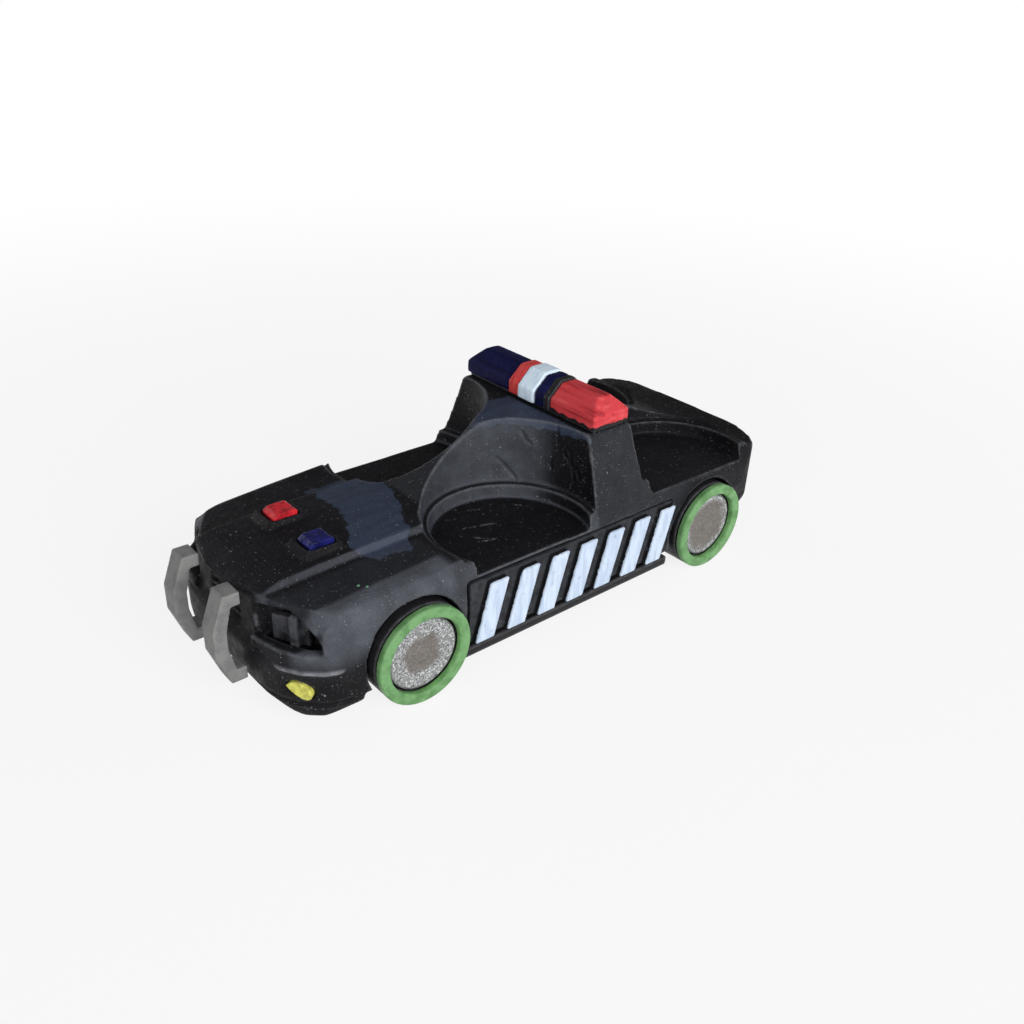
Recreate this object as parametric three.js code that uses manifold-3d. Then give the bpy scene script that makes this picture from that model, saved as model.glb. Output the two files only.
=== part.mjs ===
// A toy police car that carries play figures: four stepped round pockets, open to the sides, take the
// figures' bases, and two wheelsets roll under a screwed-on chassis plate.
// Millimetres. X runs forward, Y to the car's left, Z up from the ground.
import * as THREE from "three";
import { mergeVertices } from "three/addons/utils/BufferGeometryUtils.js";
import Module from "manifold-3d";

const wasm = await Module();
wasm.setup();

// Driving dimensions: wheels and axles
const wheelbase = 61.5;
const wheelDiameter = 15.6;
const overWheels = 45.0;
const wheelWidth = 7.2;
const wheelProud = 2.1;
const tyreRound = 1.2;
const ringWidth = 1.75;
const ringDepth = 1.2;
const ringEase = 0.2;
const hubThickness = 0.9;
const hubRecess = 0.9;
const hubEase = 0.4;
const hubDish = 0.25;
const hubBoss = 1.6;
const axleDiameter = 2.4;
const axleCover = 1.2;
const axleEase = 0.3;
const wellGap = 0.5;
const wellWall = 1.6;
const wellSpare = 2.4;

// Driving dimensions: figure pockets
const figureBase = 25;
const figureClear = 0.3;
const stepWidth = 1.2;
const stepHeight = 2.4;
const spineWall = 0.8;
const frontFloor = 15.8;
const rearFloor = 17.6;
const floorWall = 2.0;

// Driving dimensions: body lengths
const blockCentre = -9.7;
const blockLength = 9.4;
const frontOverhang = 19.6;
const tailWall = 4.4;
const tailOverhang = 6.8;
const cowlSetback = 2.5;
const windscreenRun = 15.8;
const roofEase = 4.4;
const hoodRound = 13.0;
const hoodEase = [0.2, 0.6];

// Driving dimensions: body widths, each counted from the sill
const sillWall = 2.7;
const sillTuck = 1.2;
const archSwell = 0.3;
const tailSwell = 0.4;
const tailTaper = 2.6;
const noseTaper = 0.4;
const fenderInset = 1.5;
const fenderTaper = 1.3;
const tailInset = 1.4;
const doorInset = 0.6;
const roofInset = 5.1;
const planSpare = 0.1;
const noseEase = 12.0;
const noseFullness = 0.75;
const tailEase = 9.0;
const tailFullness = 0.94;

// Driving dimensions: body heights
const waistZ = 11.0;
const tailWaistZ = 14.0;
const doorZ = 17.8;
const fenderZ = 18.8;
const fenderFall = 1.8;
const shoulderDrop = 1.7;
const shoulderRun = 1.0;
const shoulderRise = 0.4;
const creaseHalf = 9.7;
const creaseRun = 0.5;
const creaseRise = 1.0;
const deckEase = 4.0;
const deckRise = 0.4;
const crown = 0.4;
const cowlZ = 20.0;
const hoodFall = 1.0;
const roofZ = 29.5;
const roofRound = 0.6;
const beltRise = 2.2;
const tailZ = 20.4;
const tailDrop = 1.4;
const tailLip = 1.0;
const tailTuck = 6.0;
const tailBottom = 3.6;

// Driving dimensions: nose
const chinBottom = 2.0;
const chinTuck = 2.6;
const chinRise = 1.8;
const bumperZ = 9.0;
const bumperLip = 0.5;
const lampLow = 11.2;
const lampHigh = 16.9;
const grilleInset = 1.1;
const grilleSlats = 4;
const grilleDepth = 0.8;
const slatShare = 0.6;
const hoodLip = 1.0;
// Plan outlines on one side of the nose, as [distance behind the nose, distance from the middle]
const lampRecess = [[3.1, 8.6], [7.4, 15.5], [6.8, 17.4]];
const hoodCorner = [[0.1, 3.4], [1.3, 9.0], [6.4, 17.0], [11.5, 22.9]];

// Driving dimensions: tail lamp recesses
const tailLampSpan = [7.5, 15.5];
const tailLampHeights = [13.2, 16.8];
const tailLampDepth = 1.5;
const tailGroove = 0.7;

// Driving dimensions: chassis and its screws
const chassisBottom = 2.1;
const chassisThickness = 1.6;
const chassisInset = 0.2;
const saddleY = 8.0;
const saddleThickness = 2.6;
const saddleWall = 1.1;
const padRise = 1.2;
const padMargin = 0.6;
const screwDiameter = 2.0;
const screwHeadDiameter = 3.8;
const screwHeadHeight = 1.2;
const screwHeadEase = 0.3;
const screwLength = 8.0;
const screwPoint = 0.8;
const screwSpacing = [31.0, 25.0];
const bossDiameter = 4.8;
const pilotSpare = 1.0;

// Driving dimensions: light bar
const barHalfLength = 15.8;
const barWidth = 7.8;
const barHeight = 5.0;
const barShoulder = 2.2;
const barTopShare = 0.36;
const barBaseHeight = 0.5;
const barBaseInset = 0.5;
const barEndSlope = 2.5;
const bandEdges = [-4.5, -2.0, 2.1, 4.2, 5.7];
const bandGap = 0.1;
const bandSwell = 0.4;
const pegDiameter = 2.4;
const pegDepth = 2.0;
const pegSpacing = 19.0;

// Driving dimensions: lamps, push bars and side panels
const pushBarReach = 4.6;
const pushBarInner = 4.4;
const pushBarThickness = 3.4;
const pushBarLow = 4.6;
const pushBarHigh = 18.8;
const pushBarStrip = 2.0;
const pushBarSweep = 1.9;
const pushBarNeck = 1.4;
const hoodLampSize = [4.0, 3.5];
const hoodLampSetback = 13.0;
const hoodLampSpacing = 10.2;
const hoodLampProud = 0.9;
const hoodLampEase = 0.8;
const ventProud = 0.8;
const ventMargin = 0.5;
const ventSlope = 1.2;
const lampSeat = 1.0;
const fogLength = 3.8;
const fogHeight = 2.2;
const fogZ = 6.4;
const fogProud = 0.4;
const fogSeat = 1.2;
const fogAngle = 0.6;
const fogPlace = [2.9, 16.4];
const headlampSlab = [5.6, 1.0];
const headlampFin = [1.2, 2.2];
const headlampFinPlace = 3.2;
const panelHeight = 10.1;
const panelLow = 4.9;
const panelThickness = 0.9;
const panelMargin = 0.9;
const panelEdge = 0.3;
const panelBars = 7;
const panelBarShare = 0.56;
const panelBarSlant = 2.6;
const panelProud = 1.3;

// Clearances, the overlap that joins two solids into one, and a reach beyond everything
const fit = 0.3;
const merge = 0.5;
const through = 120;

// How finely round shapes are cut into flats
const flats = { pocket: 64, well: 48, tyre: 44, hub: 36, boss: 24, axle: 20, screw: 16, curve: 6, edge: 3 };

// Derived places
const wheelRadius = wheelDiameter / 2;
const axleRadius = axleDiameter / 2;
const axleXs = { front: wheelbase / 2, rear: -wheelbase / 2 };
const wheelFace = overWheels / 2;
const wheelInner = wheelFace - wheelWidth;
const wellRadius = wheelRadius + wellGap;
const wellInner = wheelInner - wellSpare;
const cavityHalf = wellInner - wellWall;
const slotRadius = (figureBase + figureClear) / 2;
const wallRadius = slotRadius + stepWidth;
const pocketY = wallRadius + spineWall / 2;
const blockFront = blockCentre + blockLength / 2;
const blockRear = blockCentre - blockLength / 2;
const frontPocketX = blockFront + wallRadius;
const rearPocketX = blockRear - wallRadius;
const noseX = axleXs.front + frontOverhang;
const chinBack = axleXs.front + wellRadius + fit;
const tailFront = axleXs.rear - wellRadius - fit;
const tailX = Math.min(rearPocketX - wallRadius - tailWall, tailFront - tailOverhang);
const cowlX = frontPocketX + wallRadius - cowlSetback;
const sillHalf = wheelFace - wheelProud;
const archHalf = sillHalf + archSwell;
const tailHalf = sillHalf + tailSwell;
const noseHalf = sillHalf - noseTaper;
const planHalf = tailHalf + planSpare;
const roofHalf = sillHalf - roofInset;
const hoodTop = cowlZ + crown / 2;
const chassisTop = chassisBottom + chassisThickness;
const bodyBottom = chassisTop + fit;
const screwSeat = chassisTop + padRise;
const bayTop = frontFloor - floorWall;
const frontReach = noseX + pushBarReach;
const barLow = roofZ + barBaseHeight;
const sides = { left: 1, right: -1 };

// Materials
function paint(colour, roughness, metalness = 0) {
  return new THREE.MeshStandardMaterial({ color: colour, roughness, metalness });
}

const blackPaint = paint(0x232327, 0.62);
const blackPlastic = paint(0x1a1a1d, 0.55);
const greenPaint = paint(0x5f9655, 0.6);
const silverPaint = paint(0x9a9792, 0.5, 0.4);
const steel = paint(0xa9acb0, 0.35, 1.0);
const redPaint = paint(0xd7464b, 0.5);
const navyPaint = paint(0x11113f, 0.5);
const bluePaint = paint(0x1e1e82, 0.45);
const whitePaint = paint(0xd9e2ec, 0.55);
const panelPaint = paint(0xc3d2e6, 0.55);
const greyPaint = paint(0x7d7d7a, 0.6);
const yellowPaint = paint(0xe1dc5a, 0.5);
const smokedLens = paint(0x33343a, 0.3);

// Solids: a closed geometry becomes a solid for cuts and joins, and comes back as a geometry
function solidOf(geometry) {
  const bare = geometry.clone();
  bare.deleteAttribute("normal");
  bare.deleteAttribute("uv");
  const merged = mergeVertices(bare, 1e-4);
  return new wasm.Manifold(new wasm.Mesh({
    numProp: 3,
    vertProperties: new Float32Array(merged.attributes.position.array),
    triVerts: new Uint32Array(merged.index.array),
  }));
}

function geometryOf(solid) {
  const mesh = solid.getMesh();
  const geometry = new THREE.BufferGeometry();
  geometry.setAttribute("position", new THREE.BufferAttribute(new Float32Array(mesh.vertProperties), 3));
  geometry.setIndex(new THREE.BufferAttribute(new Uint32Array(mesh.triVerts), 1));
  geometry.computeVertexNormals();
  return geometry;
}

function joined(solids) {
  return solids.reduce((whole, solid) => whole.add(solid));
}

function cutBy(solid, cutters) {
  return cutters.reduce((left, cutter) => left.subtract(cutter), solid);
}

// Outlines are lists of [u, v] points
function shapeOf(outline) {
  return new THREE.Shape(outline.map(([u, v]) => new THREE.Vector2(u, v)));
}

function curvePoints(start, control1, control2, end, steps = flats.curve) {
  const curve = new THREE.CubicBezierCurve(
    new THREE.Vector2(...start),
    new THREE.Vector2(...control1),
    new THREE.Vector2(...control2),
    new THREE.Vector2(...end),
  );
  return curve.getPoints(steps).map((point) => [point.x, point.y]);
}

// A half outline and its mirror image, with u or v turned about
function mirrored(half, [turnU, turnV]) {
  return [...half, ...half.map(([u, v]) => [turnU * u, turnV * v]).reverse()];
}

// A stretch out from the middle on one side of the car, in rising order
function outward(side, from, to) {
  return side > 0 ? [from, to] : [-to, -from];
}

function extruded(outline, depth) {
  return new THREE.ExtrudeGeometry(shapeOf(outline), { depth, bevelEnabled: false });
}

// An [x, y] outline raised from low to high
function raised(outline, low, high) {
  return solidOf(extruded(outline, high - low).translate(0, 0, low));
}

// An [x, z] outline carried across the car from y = from to y = to
function across(outline, from, to) {
  return solidOf(extruded(outline, to - from).rotateX(Math.PI / 2).translate(0, to, 0));
}

// Turns a [u, v] outline so that it lies in Y and Z and is carried along X
function facingForward() {
  return new THREE.Matrix4().makeBasis(
    new THREE.Vector3(0, 1, 0),
    new THREE.Vector3(0, 0, 1),
    new THREE.Vector3(1, 0, 0),
  );
}

// A [y, z] outline carried along the car from x = from to x = to
function along(outline, from, to) {
  return solidOf(extruded(outline, to - from).applyMatrix4(facingForward()).translate(from, 0, 0));
}

function block(from, to) {
  const size = to.map((value, axis) => value - from[axis]);
  const box = new THREE.BoxGeometry(...size);
  return solidOf(box.translate(...from.map((value, axis) => value + size[axis] / 2)));
}

function post(radius, [x, y], low, high, segments = flats.boss) {
  const cylinder = new THREE.CylinderGeometry(radius, radius, high - low, segments);
  return solidOf(cylinder.rotateX(Math.PI / 2).translate(x, y, (low + high) / 2));
}

// A round bar across the car
function crossBar(radius, [x, z], from, to, segments = flats.boss) {
  const cylinder = new THREE.CylinderGeometry(radius, radius, to - from, segments);
  return solidOf(cylinder.translate(x, (from + to) / 2, z));
}

// A closed skin through rings of [y, z] points, one ring at each x station, ordered from rear to front
function loft(rings) {
  const count = rings[0].outline.length;
  const positions = rings.flatMap(({ x, outline }) => outline.flatMap(([y, z]) => [x, y, z]));
  const triangles = [];
  for (let ring = 0; ring + 1 < rings.length; ring += 1) {
    for (let k = 0; k < count; k += 1) {
      const next = (k + 1) % count;
      const a = ring * count + k;
      const b = ring * count + next;
      triangles.push(a, b, b + count, a, b + count, a + count);
    }
  }
  const last = (rings.length - 1) * count;
  const cap = (outline) => THREE.ShapeUtils.triangulateShape(shapeOf(outline).getPoints(), []);
  cap(rings[0].outline).forEach(([a, b, c]) => triangles.push(a, c, b));
  cap(rings.at(-1).outline).forEach(([a, b, c]) => triangles.push(last + a, last + b, last + c));
  const geometry = new THREE.BufferGeometry();
  geometry.setAttribute("position", new THREE.Float32BufferAttribute(positions, 3));
  geometry.setIndex(triangles);
  return solidOf(geometry);
}

// Body: cross-section of the tub at one station, from the sill up over the shoulder to the crown
function tubSection({ sill, bottom, waist, widestZ, shoulder, shoulderZ, crease, run, rise, deckZ }) {
  const half = [
    [sill - sillTuck, bottom - through],
    [sill - sillTuck, bottom],
    [sill, bottom + sillTuck],
    [waist, widestZ],
    [(waist + shoulder) / 2 + shoulderRun / 3, shoulderZ - shoulderDrop],
    [shoulder, shoulderZ],
    [shoulder - shoulderRun, shoulderZ + shoulderRise],
    [crease, deckZ - rise],
    [crease - run, deckZ],
    [crease / 3, deckZ + crown],
  ];
  return mirrored(half, [-1, 1]);
}

// Hood station: the hood and the fenders fall and draw in towards the nose
function hoodStation(x, lower) {
  const share = (x - cowlX) / (noseX - cowlX);
  return {
    x,
    ...lower,
    crease: creaseHalf,
    run: creaseRun,
    rise: creaseRise,
    shoulder: sillHalf - fenderInset - fenderTaper * share ** 2,
    shoulderZ: fenderZ - fenderFall * share,
    deckZ: cowlZ - hoodFall * share ** 2,
  };
}

function deckStation(x, lower, inset, shoulderZ, deckZ) {
  const deck = { crease: creaseHalf + deckEase, run: deckEase, rise: deckRise };
  return { x, ...lower, ...deck, shoulder: lower.waist - inset, shoulderZ, deckZ };
}

function tub() {
  const doors = { sill: sillHalf, bottom: bodyBottom, waist: sillHalf, widestZ: waistZ };
  const arches = { sill: sillHalf, bottom: bodyBottom, waist: archHalf, widestZ: waistZ };
  const tail = { sill: tailHalf - tailTaper, bottom: bodyBottom, waist: tailHalf, widestZ: tailWaistZ };
  const nose = { sill: noseHalf, bottom: chinBottom, waist: noseHalf, widestZ: waistZ };
  const rings = [
    deckStation(tailX - merge, tail, tailInset, tailZ - tailDrop, tailZ),
    deckStation(axleXs.rear, arches, tailInset, tailZ - tailDrop, tailZ),
    deckStation(blockCentre, doors, doorInset, doorZ, cowlZ),
    hoodStation(cowlX, doors),
    hoodStation(axleXs.front, arches),
    hoodStation(chinBack, nose),
    hoodStation(noseX + merge, nose),
  ];
  return loft(rings.map(({ x, ...sizes }) => ({ x, outline: tubSection(sizes) })));
}

// Side view of the tub: chin, bumper lip, hood fall, tail lip and tail tuck
function tubProfile() {
  const hood = curvePoints(
    [noseX, lampHigh + hoodLip],
    [noseX - hoodEase[0] * hoodRound, cowlZ - hoodFall],
    [noseX - hoodEase[1] * hoodRound, cowlZ],
    [noseX - hoodRound, cowlZ + crown],
  );
  const tail = curvePoints(
    [tailX + tailLip, tailZ - 2 * tailLip],
    [tailX + tailLip, waistZ],
    [tailX + tailTuck / 2, waistZ / 2],
    [tailX + tailTuck, tailBottom],
  );
  return [
    ...tail,
    [tailFront, tailBottom],
    [tailFront, bodyBottom],
    [chinBack, bodyBottom],
    [chinBack, chinBottom],
    [noseX - chinTuck, chinBottom],
    [noseX - bumperLip, chinBottom + chinRise],
    [noseX, bumperZ],
    [noseX - bumperLip, bumperZ + 2 * bumperLip],
    [noseX - grilleInset, lampLow],
    [noseX - grilleInset, lampHigh],
    [noseX, lampHigh + hoodLip / 3],
    ...hood,
    [cowlX, roofZ],
    [tailX + tailTuck, roofZ],
    [tailX + tailLip, tailZ],
    [tailX, tailZ - tailLip / 3],
    [tailX, tailZ - tailLip],
  ];
}

// Plan view of the body, nose to tail along the left side, drawn in by inset
function planOutline(inset = 0) {
  const half = planHalf - inset;
  const front = noseX - inset;
  const back = tailX + inset;
  const nose = curvePoints(
    [front, half / 3],
    [front, half * noseFullness],
    [front - noseEase / 3, half],
    [front - noseEase, half],
  );
  const tail = curvePoints(
    [back + tailEase, half],
    [back + tailEase / 3, half],
    [back, half * tailFullness],
    [back, half / 2],
  );
  return mirrored([...nose, ...tail], [1, -1]);
}

// Side view of the cabin: windscreen, roof and fastback
function cabinProfile() {
  const foot = frontFloor + merge;
  const screenTop = cowlX - windscreenRun;
  const back = rearPocketX - wallRadius;
  const fastback = curvePoints(
    [blockRear + merge, roofZ],
    [blockRear - roofEase, roofZ - roofRound],
    [rearPocketX, tailZ + roofEase / 2],
    [back, tailZ - roofRound],
  );
  return [
    [cowlX + cowlSetback / 2, foot],
    [cowlX, cowlZ],
    [screenTop, roofZ - roofRound],
    [screenTop - roofEase / 2, roofZ - roofRound / 4],
    [screenTop - roofEase, roofZ],
    ...fastback,
    [back, foot],
  ];
}

// Cross-section of the cabin: the sides lean in from the belt to the roof
function cabinSection() {
  const half = [
    [sillHalf, frontFloor],
    [sillHalf - doorInset, frontFloor + beltRise],
    [roofHalf + roofRound, roofZ - roofRound],
    [roofHalf, roofZ],
  ];
  return mirrored(half, [-1, 1]);
}

function cabin() {
  const sideways = across(cabinProfile(), -through, through);
  return sideways.intersect(along(cabinSection(), -through, through));
}

function pocketCutters() {
  const places = [[frontPocketX, frontFloor], [rearPocketX, rearFloor]];
  return places.flatMap(([x, floor]) => Object.values(sides).flatMap((side) => [
    post(slotRadius, [x, side * pocketY], floor, floor + stepHeight + merge, flats.pocket),
    post(wallRadius, [x, side * pocketY], floor + stepHeight, through, flats.pocket),
  ]));
}

// Wheel wells, and the slots that the axles drop into from below
function wellCutters() {
  const slot = axleRadius + fit;
  const reach = wellInner + merge;
  return Object.values(axleXs).flatMap((x) => [
    crossBar(wellRadius, [x, wheelRadius], wellInner, through, flats.well),
    crossBar(wellRadius, [x, wheelRadius], -through, -wellInner, flats.well),
    crossBar(slot, [x, wheelRadius], -reach, reach),
    block([x - slot, -reach, -through], [x + slot, reach, wheelRadius]),
  ]);
}

// Hollow underside: a wide bay between the wheels and a narrow one over each axle
function bayCutters() {
  const midReach = axleXs.front - wellRadius - wellWall;
  const frontEnd = axleXs.front + wellRadius;
  const rearEnd = axleXs.rear - wellRadius;
  const wide = sillHalf - sillWall;
  return [
    block([-midReach, -wide, -through], [midReach, wide, bayTop]),
    block([midReach - merge, -cavityHalf, -through], [frontEnd, cavityHalf, bayTop]),
    block([rearEnd, -cavityHalf, -through], [merge - midReach, cavityHalf, bayTop]),
  ];
}

function screwPlaces() {
  const [long, wide] = screwSpacing;
  return [[1, 1], [1, -1], [-1, 1], [-1, -1]].map(([i, j]) => [(i * long) / 2, (j * wide) / 2]);
}

function screwBosses() {
  const pilotTop = chassisBottom + screwHeadHeight + screwLength + pilotSpare;
  return screwPlaces().map((place) => {
    const boss = post(bossDiameter / 2, place, screwSeat + fit, bayTop + merge);
    return boss.subtract(post(screwDiameter / 2 + fit, place, -through, pilotTop, flats.screw));
  });
}

// Swept-back lamp recess under each hood corner, and the hood corner above it
function noseCutters() {
  const ahead = noseX + through;
  const beside = planHalf + through;
  const cornerEnd = [hoodCorner.at(-1)[0], beside];
  const outlineOf = (side, points) => [
    [ahead, side * points[0][1]],
    ...points.map(([behind, out]) => [noseX - behind, side * out]),
    [ahead, side * beside],
  ];
  return Object.values(sides).flatMap((side) => [
    raised(outlineOf(side, lampRecess), lampLow, lampHigh),
    raised(outlineOf(side, [...hoodCorner, cornerEnd]), lampHigh - merge, roofZ),
  ]);
}

// Grille: slots between the push bars, with slats left standing
function grilleCutters() {
  const half = pushBarInner - fit;
  const pitch = (lampHigh - lampLow) / grilleSlats;
  return Array.from({ length: grilleSlats }, (_, k) => block(
    [noseX - grilleInset - grilleDepth, -half, lampLow + k * pitch],
    [noseX + through, half, lampLow + (k + slatShare) * pitch],
  ));
}

// Tail: lamp recesses and a groove above the bumper
function tailCutters() {
  const [inner, outer] = tailLampSpan;
  const [low, high] = tailLampHeights;
  const front = tailX + tailLampDepth;
  const lamps = Object.values(sides).map((side) => {
    const [from, to] = outward(side, inner, outer);
    return block([tailX - through, from, low], [front, to, high]);
  });
  const groove = block([tailX - through, -planHalf, waistZ], [front, planHalf, waistZ + tailGroove]);
  return [...lamps, groove];
}

function hoodLampPlace(side) {
  return [noseX - hoodLampSetback, (side * hoodLampSpacing) / 2];
}

function plate([x, y], [length, width], low, high) {
  return block([x - length / 2, y - width / 2, low], [x + length / 2, y + width / 2, high]);
}

// Raised vent on the hood, sloping down to the front, with a seat for its lamp
function hoodVents() {
  const [length, width] = hoodLampSize.map((size) => size + 2 * (fit + ventMargin));
  const root = hoodTop - lampSeat - ventProud;
  const top = hoodTop + ventProud;
  return Object.values(sides).map((side) => {
    const [x, y] = hoodLampPlace(side);
    return across([
      [x - length / 2 - ventSlope / 2, root],
      [x + length / 2 + ventSlope, root],
      [x + length / 2, top],
      [x - length / 2, top],
    ], y - width / 2, y + width / 2);
  });
}

function hoodLampSeats() {
  const size = hoodLampSize.map((value) => value + 2 * fit);
  const seatZ = hoodTop + ventProud - lampSeat;
  return Object.values(sides).map((side) => plate(hoodLampPlace(side), size, seatZ, roofZ));
}

// Fog lamp: a leaf outline on the rounded corner of the bumper, pointed at its inner end
function fogOutline(margin) {
  const half = fogLength / 2 + margin;
  const rise = fogHeight / 2 + margin;
  const tip = [-half, rise / 2];
  const end = [half, -rise / 3];
  const upper = curvePoints(tip, [-half / 3, fogHeight], [half, rise], end);
  const lower = curvePoints(end, [half, -fogHeight], [-half / 3, -rise], tip);
  return [...upper, ...lower.slice(1, -1)];
}

function fogSolid(side, margin, back, front) {
  const outline = fogOutline(margin).map(([u, v]) => [side * u, v]);
  const [behind, out] = fogPlace;
  const geometry = extruded(outline, front - back)
    .applyMatrix4(facingForward())
    .translate(back, 0, 0)
    .rotateZ(side * fogAngle)
    .translate(noseX - behind, side * out, fogZ);
  return solidOf(geometry);
}

function panelReach() {
  return axleXs.front - wellRadius - panelMargin;
}

function panelRecesses() {
  const reach = panelReach() + fit;
  const depth = sillHalf - panelThickness - fit;
  return Object.values(sides).map((side) => {
    const [from, to] = outward(side, depth, through);
    return block([-reach, from, panelLow - fit], [reach, to, panelLow + panelHeight + fit]);
  });
}

// Light bar pegs and the roof holes that take them
function pegPlaces() {
  return [[blockCentre, pegSpacing / 2], [blockCentre, -pegSpacing / 2]];
}

function bodyShell() {
  const tubSolid = tub().intersect(across(tubProfile(), -through, through));
  const hull = tubSolid
    .add(cabin())
    .add(joined(hoodVents()))
    .intersect(raised(planOutline(), -through, through));
  const opened = cutBy(hull, [...pocketCutters(), ...bayCutters(), ...noseCutters(), ...grilleCutters()]);
  const bossed = opened.add(joined(screwBosses()));
  return cutBy(bossed, [
    ...wellCutters(),
    ...tailCutters(),
    ...hoodLampSeats(),
    ...panelRecesses(),
    ...Object.values(sides).map((side) => fogSolid(side, fit, -fogSeat, through)),
    ...pegPlaces().map((place) => post(pegDiameter / 2 + fit, place, roofZ - pegDepth - fit, through)),
  ]);
}

// Chassis: plate with wheel cut-outs, axle saddles and countersunk screw pads
function chassisPlate() {
  const outline = planOutline(planHalf - sillHalf + chassisInset);
  const sheet = raised(outline, chassisBottom, chassisTop)
    .intersect(block([tailFront + fit, -through, -through], [chinBack - fit, through, through]));
  const wheelGaps = Object.values(axleXs).flatMap((x) => [
    block([x - wellRadius, wellInner, -through], [x + wellRadius, through, through]),
    block([x - wellRadius, -through, -through], [x + wellRadius, -wellInner, through]),
  ]);
  const saddleHalf = axleRadius + fit + saddleWall;
  const saddles = Object.values(axleXs).flatMap((x) => Object.values(sides).map((side) => block(
    [x - saddleHalf, side * saddleY - saddleThickness / 2, chassisTop - merge],
    [x + saddleHalf, side * saddleY + saddleThickness / 2, wheelRadius],
  )));
  const pads = screwPlaces().map((place) => (
    post(bossDiameter / 2 + padMargin, place, chassisTop - merge, screwSeat)
  ));
  const saddleReach = saddleY + saddleThickness;
  const grooves = Object.values(axleXs).map((x) => (
    crossBar(axleRadius + fit, [x, wheelRadius], -saddleReach, saddleReach)
  ));
  const holes = screwPlaces().flatMap((place) => [
    post(screwDiameter / 2 + fit, place, -through, through, flats.screw),
    post(screwHeadDiameter / 2 + fit, place, -through, chassisBottom + screwHeadHeight + fit),
  ]);
  return cutBy(cutBy(sheet, wheelGaps).add(joined([...saddles, ...pads])), [...grooves, ...holes]);
}

// Lathed pieces turn about the axle, which lies across the car
function lathed(profile, segments) {
  return new THREE.LatheGeometry(profile.map(([r, y]) => new THREE.Vector2(r, y)), segments);
}

function wheelGeometry() {
  const bore = axleRadius + fit;
  const seat = wheelWidth - ringDepth - fit;
  const hubSeat = wheelWidth - hubRecess - hubThickness - fit;
  const ringInner = wheelRadius - ringWidth;
  const shoulder = curvePoints(
    [wheelRadius - tyreRound, 0],
    [wheelRadius - tyreRound / 2, 0],
    [wheelRadius, tyreRound / 2],
    [wheelRadius, tyreRound],
    flats.edge,
  );
  return lathed([
    [bore, 0],
    ...shoulder,
    [wheelRadius, seat],
    [ringInner, seat],
    [ringInner, hubSeat],
    [bore, hubSeat],
    [bore, 0],
  ], flats.tyre);
}

function ringGeometry() {
  const inner = wheelRadius - ringWidth;
  const back = wheelWidth - ringDepth;
  return lathed([
    [inner, back],
    [wheelRadius, back],
    [wheelRadius, wheelWidth - ringEase],
    [wheelRadius - ringEase, wheelWidth],
    [inner + ringEase, wheelWidth],
    [inner, wheelWidth - ringEase],
    [inner, back],
  ], flats.tyre);
}

// Hub disc, slightly dished, with a low boss in the middle
function hubGeometry() {
  const rim = wheelRadius - ringWidth - fit;
  const front = wheelWidth - hubRecess;
  const back = front - hubThickness;
  return lathed([
    [0, back],
    [rim, back],
    [rim, front - hubEase / 2],
    [rim - hubEase, front],
    [rim / 2, front - hubDish],
    [hubBoss, front - hubDish],
    [hubBoss - hubEase, front],
    [0, front],
  ], flats.hub);
}

function axleGeometry() {
  const half = wheelFace - hubRecess - hubThickness - axleCover;
  return lathed([
    [0, -half],
    [axleRadius - axleEase, -half],
    [axleRadius, axleEase - half],
    [axleRadius, half - axleEase],
    [axleRadius - axleEase, half],
    [0, half],
  ], flats.axle);
}

// Light bar section in the side view, grown by swell
function barSection(swell) {
  const half = barWidth / 2 + swell;
  const topHalf = barTopShare * half;
  const top = roofZ + barHeight + swell;
  return [
    [blockCentre - half, barLow],
    [blockCentre + half, barLow],
    [blockCentre + half, barLow + barShoulder],
    [blockCentre + topHalf, top],
    [blockCentre - topHalf, top],
    [blockCentre - half, barLow + barShoulder],
  ];
}

function barBand(from, to, swell) {
  return across(barSection(swell), from + bandGap / 2, to - bandGap / 2);
}

// Lens whose outer end leans in towards the top
function barLens(from, side) {
  const high = roofZ + barHeight + merge;
  const end = [
    [from, roofZ],
    [barHalfLength, roofZ],
    [barHalfLength, barLow + barShoulder],
    [barHalfLength - barEndSlope, high],
    [from, high],
  ];
  const trim = along(end.map(([y, z]) => [side * y, z]), -through, through);
  const lens = across(barSection(0), ...outward(side, from, through));
  return lens.intersect(trim);
}

function barBase() {
  const size = [barWidth - 2 * barBaseInset, 2 * (barHalfLength - barBaseInset)];
  const pegs = pegPlaces().map((place) => post(pegDiameter / 2, place, roofZ - pegDepth, barLow - fit));
  return plate([blockCentre, 0], size, roofZ, barLow).add(joined(pegs));
}

// Push bar: a C-shaped plate, fixed to the nose by its two arms
function pushBarOutline() {
  const root = noseX + fit;
  const tip = frontReach;
  const strip = pushBarStrip;
  const mid = (pushBarLow + pushBarHigh) / 2;
  const low = tip - pushBarSweep;
  const outer = [[low, pushBarLow], [tip, mid - strip], [tip, mid + strip], [low, pushBarHigh]];
  const inner = [
    [low - strip / 2, pushBarHigh - strip],
    [tip - strip, mid + pushBarNeck],
    [tip - strip, mid - pushBarNeck],
    [low - strip / 2, pushBarLow + strip],
  ];
  return [
    [root, pushBarLow],
    ...outer,
    [root, pushBarHigh],
    [root, pushBarHigh - strip],
    ...inner,
    [root, pushBarLow + strip],
  ];
}

function pushBar(side) {
  return across(pushBarOutline(), ...outward(side, pushBarInner, pushBarInner + pushBarThickness));
}

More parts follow.
